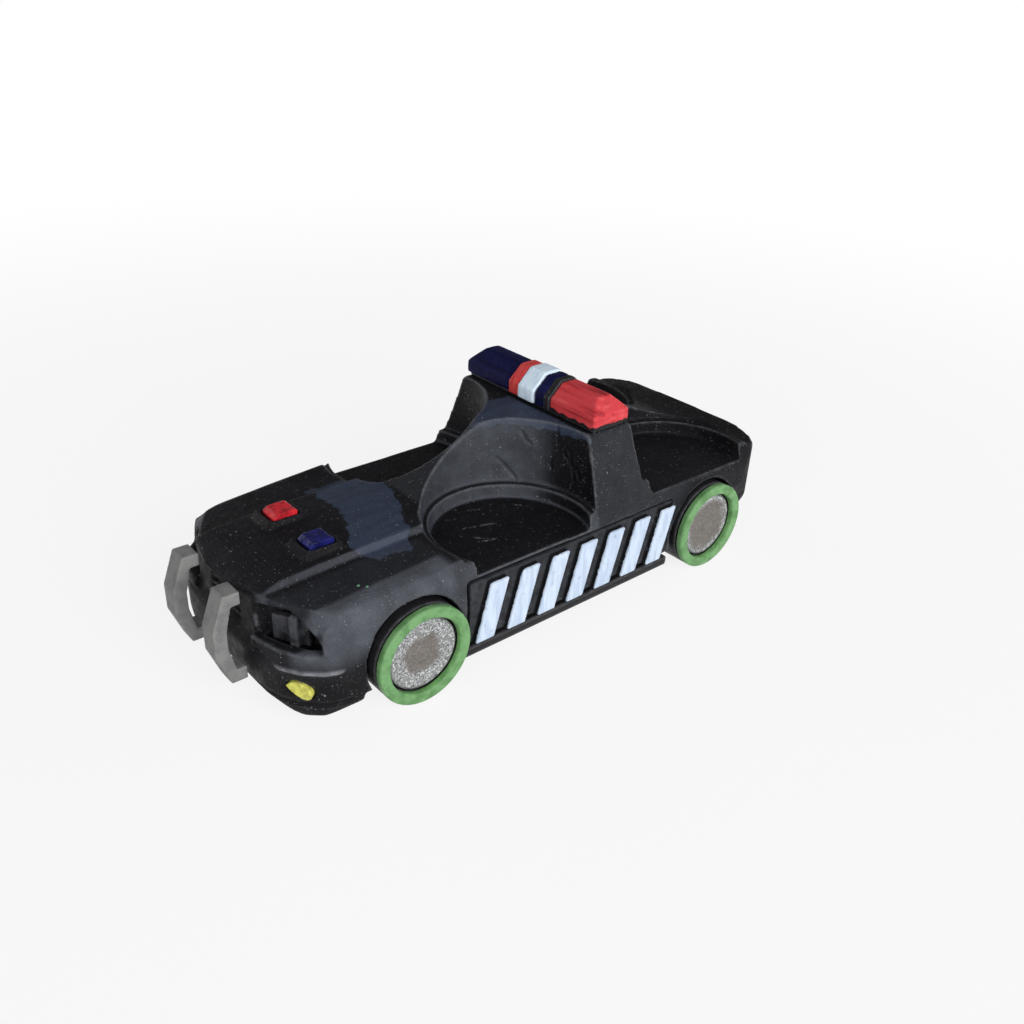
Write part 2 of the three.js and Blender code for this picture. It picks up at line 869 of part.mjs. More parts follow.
// Headlamp: a slab along the back of its recess with an upright fin
function headlamp(side) {
  const [from, to] = lampRecess.map(([behind, out]) => new THREE.Vector2(noseX - behind, out));
  const run = to.clone().sub(from).normalize();
  const out = new THREE.Vector2(run.y, -run.x);
  const [slabLength, slabDepth] = headlampSlab;
  const [finWidth, finDepth] = headlampFin;
  const start = (from.distanceTo(to) - slabLength) / 2;
  const origin = from.clone().addScaledVector(out, fit).addScaledVector(run, start);
  const at = (u, v) => {
    const point = origin.clone().addScaledVector(run, u).addScaledVector(out, v);
    return [point.x, side * point.y];
  };
  const bar = (u, length, depth) => [at(u, 0), at(u, depth), at(u + length, depth), at(u + length, 0)];
  const low = lampLow + fit;
  const slab = raised(bar(0, slabLength, slabDepth), low, lampHigh - fit - slabDepth);
  return slab.add(raised(bar(headlampFinPlace, finWidth, finDepth), low, lampHigh - fit));
}

function hoodLamp(side) {
  const [x, y] = hoodLampPlace(side);
  const [length, width] = hoodLampSize;
  const low = hoodTop + ventProud - lampSeat + fit;
  const high = hoodTop + ventProud + hoodLampProud;
  return across([
    [x - length / 2, low],
    [x + length / 2, low],
    [x + length / 2, high - hoodLampEase],
    [x + length / 2 - hoodLampEase, high],
    [x - length / 2 + hoodLampEase / 2, high],
    [x - length / 2, high - hoodLampEase / 2],
  ], y - width / 2, y + width / 2);
}

// Side panel: a flush plate with a row of slanted raised bars
function sidePanel(side) {
  const reach = panelReach();
  const [plateFrom, plateTo] = outward(side, sillHalf - panelThickness, sillHalf);
  const [barFrom, barTo] = outward(side, sillHalf - fit, sillHalf + panelProud);
  const high = panelLow + panelHeight;
  const sheet = block([-reach, plateFrom, panelLow], [reach, plateTo, high]);
  const pitch = (2 * reach - panelBarSlant - 2 * panelEdge) / (panelBars - 1 + panelBarShare);
  const bars = Array.from({ length: panelBars }, (_, k) => {
    const left = -reach + panelEdge + k * pitch;
    const right = left + panelBarShare * pitch;
    return across([
      [left + panelBarSlant, panelLow + panelEdge],
      [right + panelBarSlant, panelLow + panelEdge],
      [right, high - panelEdge],
      [left, high - panelEdge],
    ], barFrom, barTo);
  });
  return sheet.add(joined(bars));
}

function screwGeometry() {
  const headRadius = screwHeadDiameter / 2;
  const radius = screwDiameter / 2;
  const tip = screwHeadHeight + screwLength;
  return lathed([
    [0, 0],
    [headRadius - screwHeadEase, 0],
    [headRadius, screwHeadEase],
    [headRadius, screwHeadHeight],
    [radius, screwHeadHeight],
    [radius, tip - screwPoint],
    [0, tip],
  ], flats.screw).rotateX(Math.PI / 2);
}

// Assembly
const car = new THREE.Group();
car.position.x = -(frontReach + tailX) / 2;

function place(name, geometry, material, parent = car) {
  const mesh = new THREE.Mesh(geometry, material);
  mesh.name = name;
  parent.add(mesh);
  return mesh;
}

place("body_shell", geometryOf(bodyShell()), blackPaint);
place("chassis_plate", geometryOf(chassisPlate()), blackPlastic);

screwPlaces().forEach(([x, y], k) => {
  place(`chassis_screw_${k + 1}`, screwGeometry(), steel).position.set(x, y, chassisBottom);
});

Object.entries(axleXs).forEach(([end, x]) => {
  const wheelset = new THREE.Group();
  wheelset.position.set(x, 0, wheelRadius);
  car.add(wheelset);
  place(`${end}_axle`, axleGeometry(), steel, wheelset);
  Object.entries(sides).forEach(([sideName, side]) => {
    const corner = new THREE.Group();
    corner.position.y = side * wheelInner;
    corner.rotation.z = side > 0 ? 0 : Math.PI;
    wheelset.add(corner);
    place(`${end}_${sideName}_wheel`, wheelGeometry(), blackPlastic, corner);
    place(`${end}_${sideName}_ring`, ringGeometry(), greenPaint, corner);
    place(`${end}_${sideName}_hub`, hubGeometry(), silverPaint, corner);
  });
});

place("light_bar_base", geometryOf(barBase()), blackPlastic);
place("light_bar_navy_lens", geometryOf(barLens(-bandEdges[0], sides.right)), navyPaint);
place("light_bar_red_band", geometryOf(barBand(bandEdges[0], bandEdges[1], bandSwell / 2)), redPaint);
place("light_bar_white_band", geometryOf(barBand(bandEdges[1], bandEdges[2], bandSwell)), whitePaint);
place("light_bar_navy_band", geometryOf(barBand(bandEdges[2], bandEdges[3], bandSwell / 2)), navyPaint);
place("light_bar_collar", geometryOf(barBand(bandEdges[3], bandEdges[4], bandSwell / 2)), blackPlastic);
place("light_bar_red_lens", geometryOf(barLens(bandEdges[4], sides.left)), redPaint);

place("hood_lamp_blue", geometryOf(hoodLamp(sides.left)), bluePaint);
place("hood_lamp_red", geometryOf(hoodLamp(sides.right)), redPaint);

Object.entries(sides).forEach(([sideName, side]) => {
  place(`push_bar_${sideName}`, geometryOf(pushBar(side)), greyPaint);
  place(`headlamp_${sideName}`, geometryOf(headlamp(side)), smokedLens);
  place(`fog_lamp_${sideName}`, geometryOf(fogSolid(side, 0, fit - fogSeat, fogProud)), yellowPaint);
  place(`side_panel_${sideName}`, geometryOf(sidePanel(side)), panelPaint);
});

export default car;
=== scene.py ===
"""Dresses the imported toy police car: softened hand-painted plastic, worn edges, specks and brush marks."""
import math

import bmesh
import bpy
import numpy as np
from mathutils import Matrix, Vector


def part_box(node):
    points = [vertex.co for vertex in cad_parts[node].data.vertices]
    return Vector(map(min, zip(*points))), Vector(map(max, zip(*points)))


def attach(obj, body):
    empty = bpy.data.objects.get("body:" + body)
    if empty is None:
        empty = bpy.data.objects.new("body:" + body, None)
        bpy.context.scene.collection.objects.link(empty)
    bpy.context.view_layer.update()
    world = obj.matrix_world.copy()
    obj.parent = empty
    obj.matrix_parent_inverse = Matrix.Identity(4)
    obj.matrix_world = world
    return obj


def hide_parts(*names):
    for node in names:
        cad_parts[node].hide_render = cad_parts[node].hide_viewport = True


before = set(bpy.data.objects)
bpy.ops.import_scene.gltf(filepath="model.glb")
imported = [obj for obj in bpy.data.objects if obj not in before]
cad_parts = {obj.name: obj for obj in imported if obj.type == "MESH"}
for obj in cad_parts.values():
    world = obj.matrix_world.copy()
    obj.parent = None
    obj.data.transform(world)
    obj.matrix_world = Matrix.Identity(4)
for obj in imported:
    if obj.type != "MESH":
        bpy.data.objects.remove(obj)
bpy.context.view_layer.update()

MM = 0.001
ROOT = "car_body"
ENDS = ("front", "rear")
SIDES = {"left": 1, "right": -1}
# Each piece is rebuilt in even faces of this size in millimetres, and smoothed in this many passes
SOFT = {
    "body": (0.27, 8), "wheel": (0.25, 3), "ring": (0.14, 3), "hub": (0.14, 3), "chassis": (0.3, 3),
    "push_bar": (0.18, 4), "headlamp": (0.12, 3), "fog_lamp": (0.1, 4), "side_panel": (0.18, 4),
    "hood_lamp": (0.12, 5),
}
LIGHT_BAR_VOXEL = 0.18
EDGE_PASSES = 8
BODY_EDGE_PASSES = 14
TINY = 1e-12


def middle(node):
    low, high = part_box(node)
    return (low + high) / 2


# Places are given in millimetres from a point on the ground midway between the axles
MID_X = (middle("front_axle").x + middle("rear_axle").x) / 2


def at(x, y, z):
    return Vector((MID_X + x * MM, y * MM, z * MM))


def places(points):
    return np.array([at(*point) for point in points])


def millimetres(points):
    """Columns of x, y and z in millimetres from the ground midway between the axles."""
    return ((points - np.array(at(0, 0, 0))) / MM).T


# Meshes
def add_block(mesh, outline, push):
    """Adds a closed block to a mesh: an outline of points, and the same outline pushed along a vector."""
    shape = bmesh.new()
    shape.from_mesh(mesh)
    near = [shape.verts.new(point) for point in outline]
    far = [shape.verts.new(point + push) for point in outline]
    shape.faces.new(near)
    shape.faces.new(far[::-1])
    for k in range(len(outline)):
        shape.faces.new((near[k - 1], far[k - 1], far[k], near[k]))
    shape.to_mesh(mesh)
    shape.free()


def soft_mesh(source, name, voxel, passes, blocks=()):
    """A copy of a mesh, rebuilt in small even faces and smoothed so that its edges are rounded."""
    piece = bpy.data.objects.new(name, source.data.copy())
    for outline, push in blocks:
        add_block(piece.data, outline, push)
    bpy.context.scene.collection.objects.link(piece)
    remesh = piece.modifiers.new("remesh", "REMESH")
    remesh.mode = "VOXEL"
    remesh.voxel_size = voxel * MM
    smooth = piece.modifiers.new("smooth", "SMOOTH")
    smooth.factor = 0.5
    smooth.iterations = passes
    graph = bpy.context.evaluated_depsgraph_get()
    mesh = bpy.data.meshes.new_from_object(piece.evaluated_get(graph))
    piece.modifiers.clear()
    piece.data = mesh
    mesh.name = name
    mesh.materials.clear()
    mesh.shade_smooth()
    return piece


def points_of(mesh):
    flat = np.empty(len(mesh.vertices) * 3)
    mesh.vertices.foreach_get("co", flat)
    return flat.reshape(-1, 3)


def normals_of(mesh):
    flat = np.empty(len(mesh.vertices) * 3, np.float32)
    mesh.vertex_normals.foreach_get("vector", flat)
    return flat.reshape(-1, 3)


def edges_of(mesh):
    flat = np.empty(len(mesh.edges) * 2, np.int32)
    mesh.edges.foreach_get("vertices", flat)
    return flat.reshape(-1, 2)


def set_points(mesh, points):
    mesh.vertices.foreach_set("co", points.astype(np.float32).ravel())
    mesh.update()


def averaged(points, edges, passes):
    """Points moved towards the mean of their neighbours."""
    count = len(points)
    first, second = edges[:, 0], edges[:, 1]
    share = np.bincount(first, minlength=count) + np.bincount(second, minlength=count)
    share = np.maximum(share, 1)[:, None]
    for _ in range(passes):
        columns = [
            np.bincount(first, points[second, k], count) + np.bincount(second, points[first, k], count)
            for k in range(points.shape[1])
        ]
        points = (points + np.stack(columns, 1) / share) / 2
    return points


def flatten(mesh, share):
    """Leaves a share of a mesh's height, above its lowest point."""
    points = points_of(mesh)
    low = points[:, 2].min()
    points[:, 2] = low + share * (points[:, 2] - low)
    set_points(mesh, points)


def add_layer(mesh, name, values):
    layer = mesh.attributes.new(name, "FLOAT", "POINT")
    layer.data.foreach_set("value", values.astype(np.float32))


def edge_of(mesh, passes):
    """How far each point stands out of its surroundings, in millimetres: above 0 on ridges."""
    points = points_of(mesh)
    away = averaged(points, edges_of(mesh), passes) - points
    return -(away * normals_of(mesh)).sum(1) / MM


def line_distance(points, line):
    """Distance of each point from a line of points, in millimetres."""
    best = np.full(len(points), np.inf)
    for start, end in zip(line[:-1], line[1:]):
        run = end - start
        share = np.clip((points - start) @ run / (run @ run), 0, 1)
        nearest = start + share[:, None] * run
        best = np.minimum(best, np.linalg.norm(points - nearest, axis=1))
    return best / MM


def lines_distance(points, lines):
    return np.min([line_distance(points, line) for line in lines], axis=0)


def outline_distance(points, outline):
    """Distance from a closed plan outline in millimetres, below 0 inside it."""
    flat = points.copy()
    flat[:, 2] = 0
    ring = outline.copy()
    ring[:, 2] = 0
    far = line_distance(flat, np.vstack([ring, ring[:1]]))
    inside = np.zeros(len(points), bool)
    for (ax, ay, _), (bx, by, _) in zip(ring, np.roll(ring, -1, axis=0)):
        crosses = (ay > points[:, 1]) != (by > points[:, 1])
        side = ax + (points[:, 1] - ay) * (bx - ax) / (by - ay if by != ay else TINY)
        inside ^= crosses & (points[:, 0] < side)
    return np.where(inside, -far, far)


def eased(value, low, high):
    """0 up to low and 1 from high on, with an eased run between them."""
    share = np.clip((value - low) / (high - low), 0, 1)
    return share * share * (3 - 2 * share)


# Materials
NOISE_SPAN = (0.3, 0.7)


def linear(red, green, blue):
    """A colour written as it looks on screen, 0 to 255, as light."""
    def light(value):
        value /= 255
        return value / 12.92 if value <= 0.04045 else ((value + 0.055) / 1.055) ** 2.4
    return (light(red), light(green), light(blue), 1.0)


class Paint:
    """One material, with short calls for the nodes that it needs. Textures run in millimetres."""

    def __init__(self, name, colour, roughness, specular=0.5, metallic=0.0):
        self.material = bpy.data.materials.new(name)
        self.material.use_nodes = True
        self.tree = self.material.node_tree
        self.shader = self.tree.nodes["Principled BSDF"]
        self.shader.inputs["Roughness"].default_value = roughness
        self.shader.inputs["Specular IOR Level"].default_value = specular
        self.shader.inputs["Metallic"].default_value = metallic
        self.shader.inputs["Base Color"].default_value = colour
        self.colour = colour
        self.height = None
        coordinates = self.node("ShaderNodeTexCoord")
        scale = self.node("ShaderNodeVectorMath", operation="SCALE")
        self.tree.links.new(coordinates.outputs["Object"], scale.inputs[0])
        scale.inputs["Scale"].default_value = 1 / MM
        self.place = scale.outputs[0]

    def node(self, kind, **settings):
        node = self.tree.nodes.new(kind)
        for name, value in settings.items():
            setattr(node, name, value)
        return node

    def put(self, socket, value):
        if hasattr(value, "is_output"):
            self.tree.links.new(value, socket)
        else:
            socket.default_value = value

    def math(self, operation, first, second=0.0):
        node = self.node("ShaderNodeMath", operation=operation)
        self.put(node.inputs[0], first)
        self.put(node.inputs[1], second)
        return node.outputs[0]

    def ramp(self, value, low, high, to_low=0.0, to_high=1.0):
        """Value from low to high becomes to_low to to_high, with an eased run between them."""
        node = self.node("ShaderNodeMapRange", interpolation_type="SMOOTHSTEP")
        for socket, number in zip(node.inputs[:5], (value, low, high, to_low, to_high)):
            self.put(socket, number)
        return node.outputs[0]

    def stretched(self, stretch):
        if stretch == (1, 1, 1):
            return self.place
        node = self.node("ShaderNodeVectorMath", operation="MULTIPLY")
        self.put(node.inputs[0], self.place)
        node.inputs[1].default_value = stretch
        return node.outputs[0]

    def noise(self, per_mm, detail=3.0, stretch=(1, 1, 1)):
        node = self.node("ShaderNodeTexNoise")
        self.put(node.inputs["Vector"], self.stretched(stretch))
        node.inputs["Scale"].default_value = per_mm
        node.inputs["Detail"].default_value = detail
        return node.outputs["Fac"]

    def ragged(self, per_mm, detail, amount):
        """Noise round 0, which moves a border by up to half the amount to either side."""
        return self.math("MULTIPLY", self.math("SUBTRACT", self.noise(per_mm, detail), 0.5), amount)

    def layer(self, name):
        return self.node("ShaderNodeAttribute", attribute_name=name).outputs["Fac"]

    def axis(self, name):
        node = self.node("ShaderNodeSeparateXYZ")
        self.put(node.inputs[0], self.place)
        return node.outputs[name]

    def cells(self, per_mm):
        """A loose grid: the distance from the middle of each cell, and three numbers drawn for the cell."""
        cells = self.node("ShaderNodeTexVoronoi", feature="F1")
        self.put(cells.inputs["Vector"], self.place)
        cells.inputs["Scale"].default_value = per_mm
        drawn = self.node("ShaderNodeSeparateColor")
        self.put(drawn.inputs[0], cells.outputs["Color"])
        return cells.outputs["Distance"], drawn.outputs

    def specks(self, per_mm, radius, share):
        """Round dots in a share of the cells of a loose grid."""
        distance, drawn = self.cells(per_mm)
        chosen = self.math("LESS_THAN", drawn[0], share)
        reach = self.math("MULTIPLY", drawn[1], radius * per_mm)
        dots = self.math("LESS_THAN", distance, reach)
        return self.math("MULTIPLY", chosen, dots)

    def blend(self, mask, colour):
        """Lays a colour, or a colour socket, over what is there."""
        node = self.node("ShaderNodeMix", data_type="RGBA")
        self.put(node.inputs["Factor"], mask)
        self.put(node.inputs["A"], self.colour)
        self.put(node.inputs["B"], colour)
        self.colour = node.outputs["Result"]

    def rise(self, value, height):
        """Adds to the height in millimetres that the surface is bumped by."""
        part = self.math("MULTIPLY", value, height)
        self.height = part if self.height is None else self.math("ADD", self.height, part)

    def rough(self, value, low, high):
        self.put(self.shader.inputs["Roughness"], self.ramp(value, *NOISE_SPAN, low, high))

    def done(self):
        self.put(self.shader.inputs["Base Color"], self.colour)
        if self.height is not None:
            bump = self.node("ShaderNodeBump")
            bump.inputs["Strength"].default_value = 1.0
            bump.inputs["Distance"].default_value = MM
            self.put(bump.inputs["Height"], self.height)
            self.put(self.shader.inputs["Normal"], bump.outputs["Normal"])
        return self.material


PRINT_LAYER = 0.16
PRINT_WAVER = 0.15
PRINT_DEPTH = 0.012


def print_lines(paint, depth=PRINT_DEPTH):
    """Fine level lines, as a printed part has, which fade in and out."""
    waver = paint.math("MULTIPLY", paint.noise(0.25, 1.0), PRINT_WAVER)
    turn = paint.math("MULTIPLY", paint.math("ADD", paint.axis("Z"), waver), 2 * math.pi / PRINT_LAYER)
    fade = paint.ramp(paint.noise(0.12, 1.0), 0.4, 0.65)
    paint.rise(paint.math("MULTIPLY", paint.math("SINE", turn), fade), depth)


def worn_edges(paint, colour, low, high, most):
    """Paint rubbed off the ridges, in patches."""
    ridge = paint.ramp(paint.layer("edge"), low, high)
    patches = paint.ramp(paint.noise(0.9, 4.0), 0.35, 0.65, 0.25, most)
    paint.blend(paint.math("MULTIPLY", ridge, patches), colour)


BODY_COLOURS = {
    "black": (25, 25, 29), "deep": (20, 20, 23), "dust": (38, 38, 43), "slate": (56, 65, 84),
    "haze_and_sheen": (91, 95, 103), "ridge": (168, 170, 176), "painted_shade": (13, 13, 15), "worn": (92, 94, 98),
    "scratch": (112, 112, 114), "fleck": (120, 170, 135),
}
# Cells per millimetre, largest radius in millimetres, share of the cells, strength and colour
BODY_SPECKS = [
    (1.1, 0.17, 0.06, 0.6, (150, 150, 152)),
    (2.6, 0.12, 0.24, 0.5, (132, 133, 138)),
    (5.0, 0.08, 0.3, 0.3, (112, 113, 118)),
]
CRACK_WIDTH, CRACK_DEPTH = 0.6, 0.22


def body_coat(paint, colours):
    """Uneven black, and over it the slate patches, the grey haze that is partly painted sheen, the rubbed
    bumper line and the painted shade.
    """
    paint.blend(paint.ramp(paint.noise(0.16, 4.0), 0.35, 0.7), colours["deep"])
    paint.blend(paint.ramp(paint.noise(2.2, 2.0), 0.55, 0.8, 0.0, 0.5), colours["dust"])
    border = paint.math("ADD", paint.layer("slate"), paint.ragged(0.5, 3.0, 2.4))
    slate = paint.ramp(border, 0.25, -0.25)
    streaks = paint.ramp(paint.noise(0.5, 4.0, (0.35, 1.4, 1)), *NOISE_SPAN, 0.75, 1.0)
    paint.blend(paint.math("MULTIPLY", slate, streaks), colours["slate"])
    # Grey haze: partly rubbed paint, partly painted sheen on the sides that face the lamp
    dusty = paint.ramp(paint.noise(0.3, 6.0), 0.25, 0.75, 0.5, 0.95)
    grain = paint.ramp(paint.noise(6.0, 4.0), *NOISE_SPAN, 0.72, 1.0)
    haze_and_sheen_mask = paint.math("MULTIPLY", paint.layer("haze_and_sheen"), paint.math("MULTIPLY", dusty, grain))
    paint.blend(haze_and_sheen_mask, colours["haze_and_sheen"])
    rubbed = paint.ramp(paint.noise(0.8, 3.0), 0.3, 0.6, 0.35, 0.85)
    paint.blend(paint.math("MULTIPLY", paint.layer("ridge"), rubbed), colours["ridge"])
    # Painted shade behind the push bars, on the chin and round the tail
    paint.blend(paint.layer("painted_shade"), colours["painted_shade"])


def body_wear(paint, colours):
    """Rubbed edges, specks, scratches and green flecks."""
    worn_edges(paint, colours["worn"], 0.05, 0.16, 0.75)
    for per_mm, radius, share, strength, colour in BODY_SPECKS:
        dots = paint.math("MULTIPLY", paint.specks(per_mm, radius, share), strength)
        paint.blend(dots, linear(*colour))
    scratched = paint.math("ADD", paint.layer("scratch"), paint.noise(2.0, 3.0))
    paint.blend(paint.ramp(scratched, 0.75, 0.45, 0.0, 0.8), colours["scratch"])
    paint.blend(paint.ramp(paint.layer("fleck"), 0.3, 0.15), colours["fleck"])


def body_paint():
    colours = {part: linear(*colour) for part, colour in BODY_COLOURS.items()}
    paint = Paint("body_black", colours["black"], 0.55, specular=0.12)
    body_coat(paint, colours)
    body_wear(paint, colours)
    paint.rough(paint.noise(0.7, 4.0), 0.46, 0.62)
    paint.rise(paint.noise(0.35, 2.0), 0.12)
    paint.rise(paint.noise(5.0, 3.0), 0.035)
    paint.rise(paint.ramp(paint.layer("crack"), 0.0, CRACK_WIDTH, -CRACK_DEPTH, 0.0), 1.0)
    print_lines(paint)
    return paint.done()


def plain_black(name, roughness, shade):
    """Satin black of a given shade, darker in patches, with pale edges and specks."""
    deep, worn, speck = linear(shade - 8, shade - 8, shade - 6), linear(88, 89, 92), linear(140, 140, 142)
    paint = Paint(name, linear(shade, shade, shade + 3), roughness, specular=0.2)
    paint.blend(paint.ramp(paint.noise(0.4, 4.0), 0.35, 0.7), deep)
    worn_edges(paint, worn, 0.02, 0.08, 0.6)
    paint.blend(paint.math("MULTIPLY", paint.specks(1.6, 0.14, 0.12), 0.5), speck)
    paint.rough(paint.noise(0.9, 3.0), roughness - 0.08, roughness + 0.1)
    paint.rise(paint.noise(4.0, 3.0), 0.03)
    print_lines(paint)
    return paint.done()


# How brush streaks are stretched along x, y and z
ALONG_BAR = (0.7, 0.1, 1.7)
ACROSS_BAR = (0.3, 1.8, 0.3)
ALONG_AXLE = (1, 0.1, 1)
DOWN_PANEL = (1.8, 1, 0.3)
# The dark paint at a lens's lower edge: its height, how far it wavers, and its blur
HEM_HEIGHT, HEM_WAVER, HEM_BLUR = 1.5, 1.6, 0.15


def lens_paint(name, colour, deep, pale, along, specular=0.2, roughness=0.48, hem=None):
    """Brushed paint: streaks along one direction, thin edges, and a ragged dark hem above a given level."""
    paint = Paint(name, linear(*colour), roughness, specular)
    streak = paint.noise(1.0, 5.0, along)
    paint.blend(paint.ramp(streak, 0.52, 0.72, 0.0, 0.85), linear(*deep))
    paint.blend(paint.ramp(streak, 0.46, 0.3, 0.0, 0.6), linear(*pale))
    thin = paint.math("MULTIPLY", paint.ramp(paint.layer("edge"), 0.04, 0.12), paint.noise(1.4, 3.0))
    paint.blend(paint.math("MULTIPLY", thin, 0.6), linear(*pale))
    paint.rough(paint.noise(1.2, 3.0), roughness - 0.08, roughness + 0.12)
    if hem is not None:
        waver = paint.math("MULTIPLY", paint.noise(0.7, 5.0), HEM_WAVER)
        level = paint.math("ADD", paint.axis("Z"), waver)
        top = hem + HEM_HEIGHT
        paint.blend(paint.ramp(level, top, top - HEM_BLUR), linear(30, 26, 29))
    paint.rise(streak, 0.06)
    paint.rise(paint.noise(0.6, 3.0), 0.14)
    return paint.done()


def push_bar_paint():
    grey, dull, pitted = linear(128, 128, 127), linear(112, 112, 112), linear(88, 88, 90)
    worn, dirt_and_shade = linear(158, 158, 156), linear(50, 50, 53)
    paint = Paint("bar_grey", grey, 0.6, specular=0.35)
    paint.blend(paint.ramp(paint.noise(0.7, 5.0), 0.4, 0.7), dull)
    paint.blend(paint.ramp(paint.noise(3.0, 4.0), 0.6, 0.75, 0.0, 0.6), pitted)
    worn_edges(paint, worn, 0.04, 0.12, 0.6)
    # Hollows of the bars darkened as painted shade
    paint.blend(paint.ramp(paint.layer("edge"), -0.03, -0.12, 0.0, 0.7), dirt_and_shade)
    paint.rise(paint.noise(3.5, 4.0), 0.05)
    print_lines(paint, depth=0.03)
    return paint.done()


# Distances from the axle in millimetres
RING_INNER = (6.75, 6.35)
# Between these distances the hub darkens as painted shade, where it sits sunk inside the ring
HUB_RIM_SHADE = (5.3, 5.75)
DULL_BLUR = 1.4


def ring_paint():
    green, deep, pale = linear(112, 158, 104), linear(88, 132, 80), linear(142, 184, 132)
    bright, bare = linear(128, 190, 110), linear(46, 50, 48)
    paint = Paint("ring_green", green, 0.55, specular=0.35)
    paint.blend(paint.ramp(paint.noise(0.45, 4.0), 0.4, 0.65), deep)
    paint.blend(paint.ramp(paint.noise(2.6, 4.0), 0.58, 0.75, 0.0, 0.55), pale)
    inner = paint.ramp(paint.math("ADD", paint.layer("radius"), paint.noise(1.2, 3.0)), *RING_INNER)
    paint.blend(paint.math("MULTIPLY", inner, 0.55), bright)
    chips = paint.ramp(paint.noise(1.3, 5.0), 0.72, 0.78)
    paint.blend(paint.math("MULTIPLY", chips, 0.8), bare)
    paint.rough(paint.noise(1.5, 3.0), 0.48, 0.66)
    paint.rise(paint.noise(1.8, 4.0), 0.06)
    return paint.done()


def hub_paint(name, dull):
    """Silver glitter, rubbed to a dull brown in the middle, as far out as dull says, and darkened round its
    rim as painted shade.
    """
    silver, dark, bright = linear(146, 147, 148), linear(88, 88, 90), linear(214, 216, 218)
    brown, rim_shade = linear(106, 98, 92), linear(66, 66, 68)
    paint = Paint(name, silver, 0.5, specular=0.3)
    _, flake = paint.cells(5.6)
    paint.blend(paint.ramp(flake[0], 0.35, 0.1), dark)
    paint.blend(paint.ramp(flake[1], 0.7, 0.9), bright)
    wander = paint.math("MULTIPLY", paint.noise(0.5, 3.0), 3.0)
    distance = paint.math("ADD", paint.layer("radius"), wander)
    paint.blend(paint.ramp(distance, dull + DULL_BLUR, dull, 0.0, 0.85), brown)
    paint.blend(paint.ramp(paint.layer("radius"), *HUB_RIM_SHADE, 0.0, 0.7), rim_shade)
    paint.put(paint.shader.inputs["Roughness"], paint.ramp(flake[2], 0.0, 1.0, 0.3, 0.65))
    paint.rise(flake[0], 0.09)
    paint.rise(paint.noise(0.7, 3.0), 0.15)
    return paint.done()


# The plate's thickness in millimetres, and the run above it in which a bar's side turns black
PANEL_PLATE = 0.9
BAR_SIDE = (0.05, 0.3)
# The share of a bar's height where the pale paint of its face starts, and the blur of that border
BAR_FACE_SHARE, BAR_FACE_BLUR = 0.72, 0.06


def panel_paint(plate_face, bar_face):
    """Grey plate and black bar sides, with pale paint on the faces of the raised bars."""
    grey, dark, black = linear(58, 59, 63), linear(44, 45, 49), linear(25, 25, 28)
    paint = Paint("panel_pale", grey, 0.6, specular=0.15)
    paint.blend(paint.ramp(paint.noise(0.9, 4.0), 0.35, 0.65), dark)
    out = paint.math("ABSOLUTE", paint.axis("Y"))
    paint.blend(paint.ramp(out, plate_face + BAR_SIDE[0], plate_face + BAR_SIDE[1]), black)
    edge = plate_face + BAR_FACE_SHARE * (bar_face - plate_face)
    ragged_out = paint.math("ADD", out, paint.ragged(1.2, 4.0, 0.5))
    face = paint.ramp(ragged_out, edge - BAR_FACE_BLUR, edge + BAR_FACE_BLUR)
    streak = paint.noise(0.8, 5.0, DOWN_PANEL)
    pale = paint.node("ShaderNodeMix", data_type="RGBA")
    paint.put(pale.inputs["Factor"], paint.ramp(streak, 0.35, 0.65))
    pale.inputs["A"].default_value = linear(184, 200, 222)
    pale.inputs["B"].default_value = linear(206, 219, 236)
    paint.blend(face, pale.outputs["Result"])
    dirt_and_shade = paint.math("MULTIPLY", paint.ramp(paint.noise(0.7, 5.0), 0.6, 0.75), 0.35)
    paint.blend(dirt_and_shade, linear(96, 102, 112))
    paint.rise(streak, 0.08)
    paint.rise(paint.noise(3.0, 3.0), 0.03)
    return paint.done()


def lamp_paint(name, colour, deep, painted_highlight, roughness=0.3):
    """Glossy paint laid on thick, with deeper patches, and paler patches that are painted highlights."""
    paint = Paint(name, linear(*colour), roughness, specular=0.2)
    paint.blend(paint.ramp(paint.noise(0.8, 4.0), 0.4, 0.65), linear(*deep))
    paint.blend(paint.ramp(paint.noise(1.6, 4.0), 0.62, 0.74, 0.0, 0.6), linear(*painted_highlight))
    paint.rough(paint.noise(1.0, 3.0), roughness - 0.06, roughness + 0.14)
    paint.rise(paint.noise(0.8, 4.0), 0.2)
    return paint.done()


def steel_paint():
    bright, dull = linear(172, 175, 179), linear(140, 143, 148)
    paint = Paint("steel", bright, 0.34, specular=0.5, metallic=1.0)
    paint.blend(paint.ramp(paint.noise(1.0, 4.0), 0.4, 0.7), dull)
    paint.rough(paint.noise(2.0, 4.0, ALONG_AXLE), 0.26, 0.45)
    paint.rise(paint.noise(6.0, 2.0, ALONG_AXLE), 0.01)
    return paint.done()


